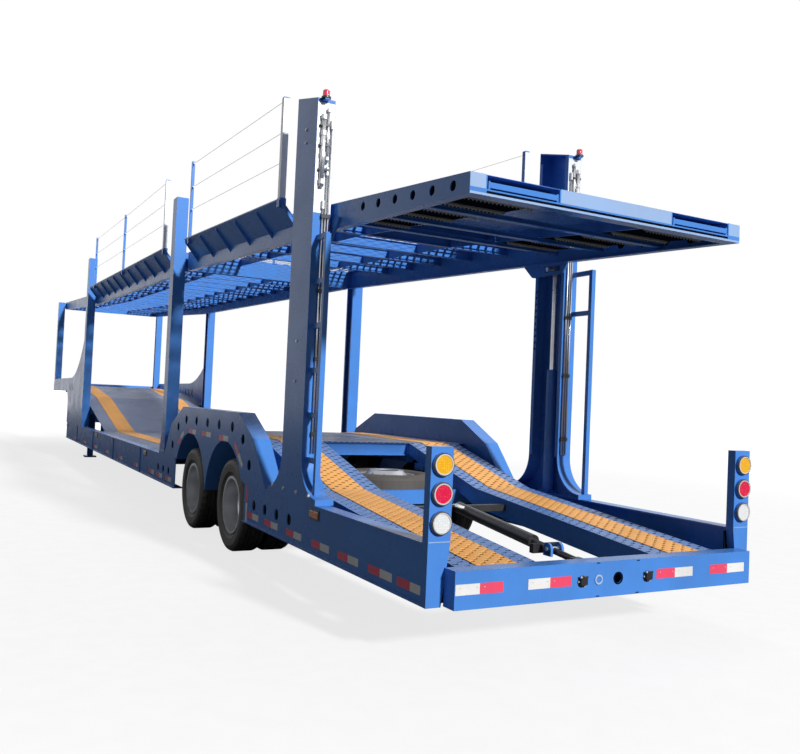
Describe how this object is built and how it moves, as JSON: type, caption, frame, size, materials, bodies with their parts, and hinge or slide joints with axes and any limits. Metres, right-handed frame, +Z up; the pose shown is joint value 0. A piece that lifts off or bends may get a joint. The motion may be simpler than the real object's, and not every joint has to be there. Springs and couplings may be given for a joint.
{
  "type": "double-deck car carrier semi-trailer",
  "caption": "Blue double-deck car carrier semi-trailer with twin wheels, lowering rear upper deck, sliding loading ramps, lift cylinders and a spare wheel.",
  "frame": {"origin": "on the ground, midway along the trailer's length and width", "axes": "+X forward, towards the kingpin; +Y to the trailer's left; +Z up"},
  "size_m": [18.3, 2.5, 4.225],
  "materials": {
    "blue_paint": "gloss blue paint",
    "orange_paint": "orange anti-slip paint",
    "black_paint": "satin black paint",
    "black_tyre": "worn black tyre",
    "grey_rim": "grey painted steel",
    "bare_steel": "bare steel",
    "zinc_grey": "zinc grey paint",
    "amber_lens": "amber lens",
    "red_lens": "red lens",
    "white_lens": "clear lens"
  },
  "bodies": {
    "chassis": {"rear_beam": "blue_paint", "lamp_posts": "blue_paint", "side_rail_left": "blue_paint", "side_rail_right": "blue_paint", "wheel_hump_left": "blue_paint", "wheel_hump_right": "blue_paint", "ramp_floor": "blue_paint", "ramp_frame": "blue_paint", "lower_floor": "blue_paint", "axle_frame": "blue_paint", "well_frame": "blue_paint", "nose_frame": "blue_paint", "nose_sides": "blue_paint", "landing_legs": "blue_paint", "rear_column_left": "blue_paint", "rear_column_right": "blue_paint", "middle_posts": "blue_paint", "second_posts": "blue_paint", "front_posts": "blue_paint", "ladders": "blue_paint", "front_deck_frame": "blue_paint", "front_deck_floor": "blue_paint", "front_wings": "blue_paint", "front_stanchions": "blue_paint", "amber_lamps": "amber_lens", "red_lamps": "red_lens", "white_lamps": "white_lens", "lower_strips": "orange_paint", "kingpin": "bare_steel", "column_lamps": "red_lens", "spare_tyre": "black_tyre", "spare_rim": "grey_rim", "axles": "black_paint", "springs": "black_paint", "tail_cylinder": "black_paint", "lift_barrels": "zinc_grey"},
    "upper_rear_deck": {"rear_deck_frame": "blue_paint", "rear_deck_floor": "blue_paint", "rear_wings": "blue_paint", "rear_stanchions": "blue_paint"},
    "ramp_left_body": {"ramp_left": "blue_paint"},
    "lift_rod_left_body": {"lift_rod_left": "bare_steel"},
    "ramp_right_body": {"ramp_right": "blue_paint"},
    "lift_rod_right_body": {"lift_rod_right": "bare_steel"},
    "wheels_rear_left": {"rims_rear_left": "grey_rim", "tyres_rear_left": "black_tyre"},
    "wheels_rear_right": {"rims_rear_right": "grey_rim", "tyres_rear_right": "black_tyre"},
    "wheels_front_left": {"rims_front_left": "grey_rim", "tyres_front_left": "black_tyre"},
    "wheels_front_right": {"rims_front_right": "grey_rim", "tyres_front_right": "black_tyre"}
  },
  "joints": [
    {"name": "wheels_rear_left_spin", "type": "hinge", "parent": "chassis", "child": "wheels_rear_left", "pos_m": [-5.425, 0.96, 0.42], "axis": [0, 1, 0], "continuous": true},
    {"name": "wheels_rear_right_spin", "type": "hinge", "parent": "chassis", "child": "wheels_rear_right", "pos_m": [-5.425, -0.96, 0.42], "axis": [0, 1, 0], "continuous": true},
    {"name": "wheels_front_left_spin", "type": "hinge", "parent": "chassis", "child": "wheels_front_left", "pos_m": [-4.075, 0.96, 0.42], "axis": [0, 1, 0], "continuous": true},
    {"name": "wheels_front_right_spin", "type": "hinge", "parent": "chassis", "child": "wheels_front_right", "pos_m": [-4.075, -0.96, 0.42], "axis": [0, 1, 0], "continuous": true},
    {"name": "rear_deck_tilt", "type": "hinge", "parent": "chassis", "child": "upper_rear_deck", "pos_m": [-2.82, 0, 2.985], "axis": [0, -1, 0], "range_deg": [0, 11]},
    {"name": "lift_rod_left_slide", "type": "slide", "parent": "chassis", "child": "lift_rod_left_body", "axis": [0, 0, -1], "range_m": [0, 0.8192]},
    {"name": "ramp_left_slide", "type": "slide", "parent": "upper_rear_deck", "child": "ramp_left_body", "axis": [-0.9959, 0, -0.0907], "range_m": [0, 1.5]},
    {"name": "lift_rod_right_slide", "type": "slide", "parent": "chassis", "child": "lift_rod_right_body", "axis": [0, 0, -1], "range_m": [0, 0.8192]},
    {"name": "ramp_right_slide", "type": "slide", "parent": "upper_rear_deck", "child": "ramp_right_body", "axis": [-0.9959, 0, -0.0907], "range_m": [0, 1.5]}
  ],
  "couplings": [
    {"joint": "lift_rod_left_slide", "follows": "rear_deck_tilt", "m_per_rad": 4.2643},
    {"joint": "lift_rod_right_slide", "follows": "rear_deck_tilt", "m_per_rad": 4.2643}
  ]
}
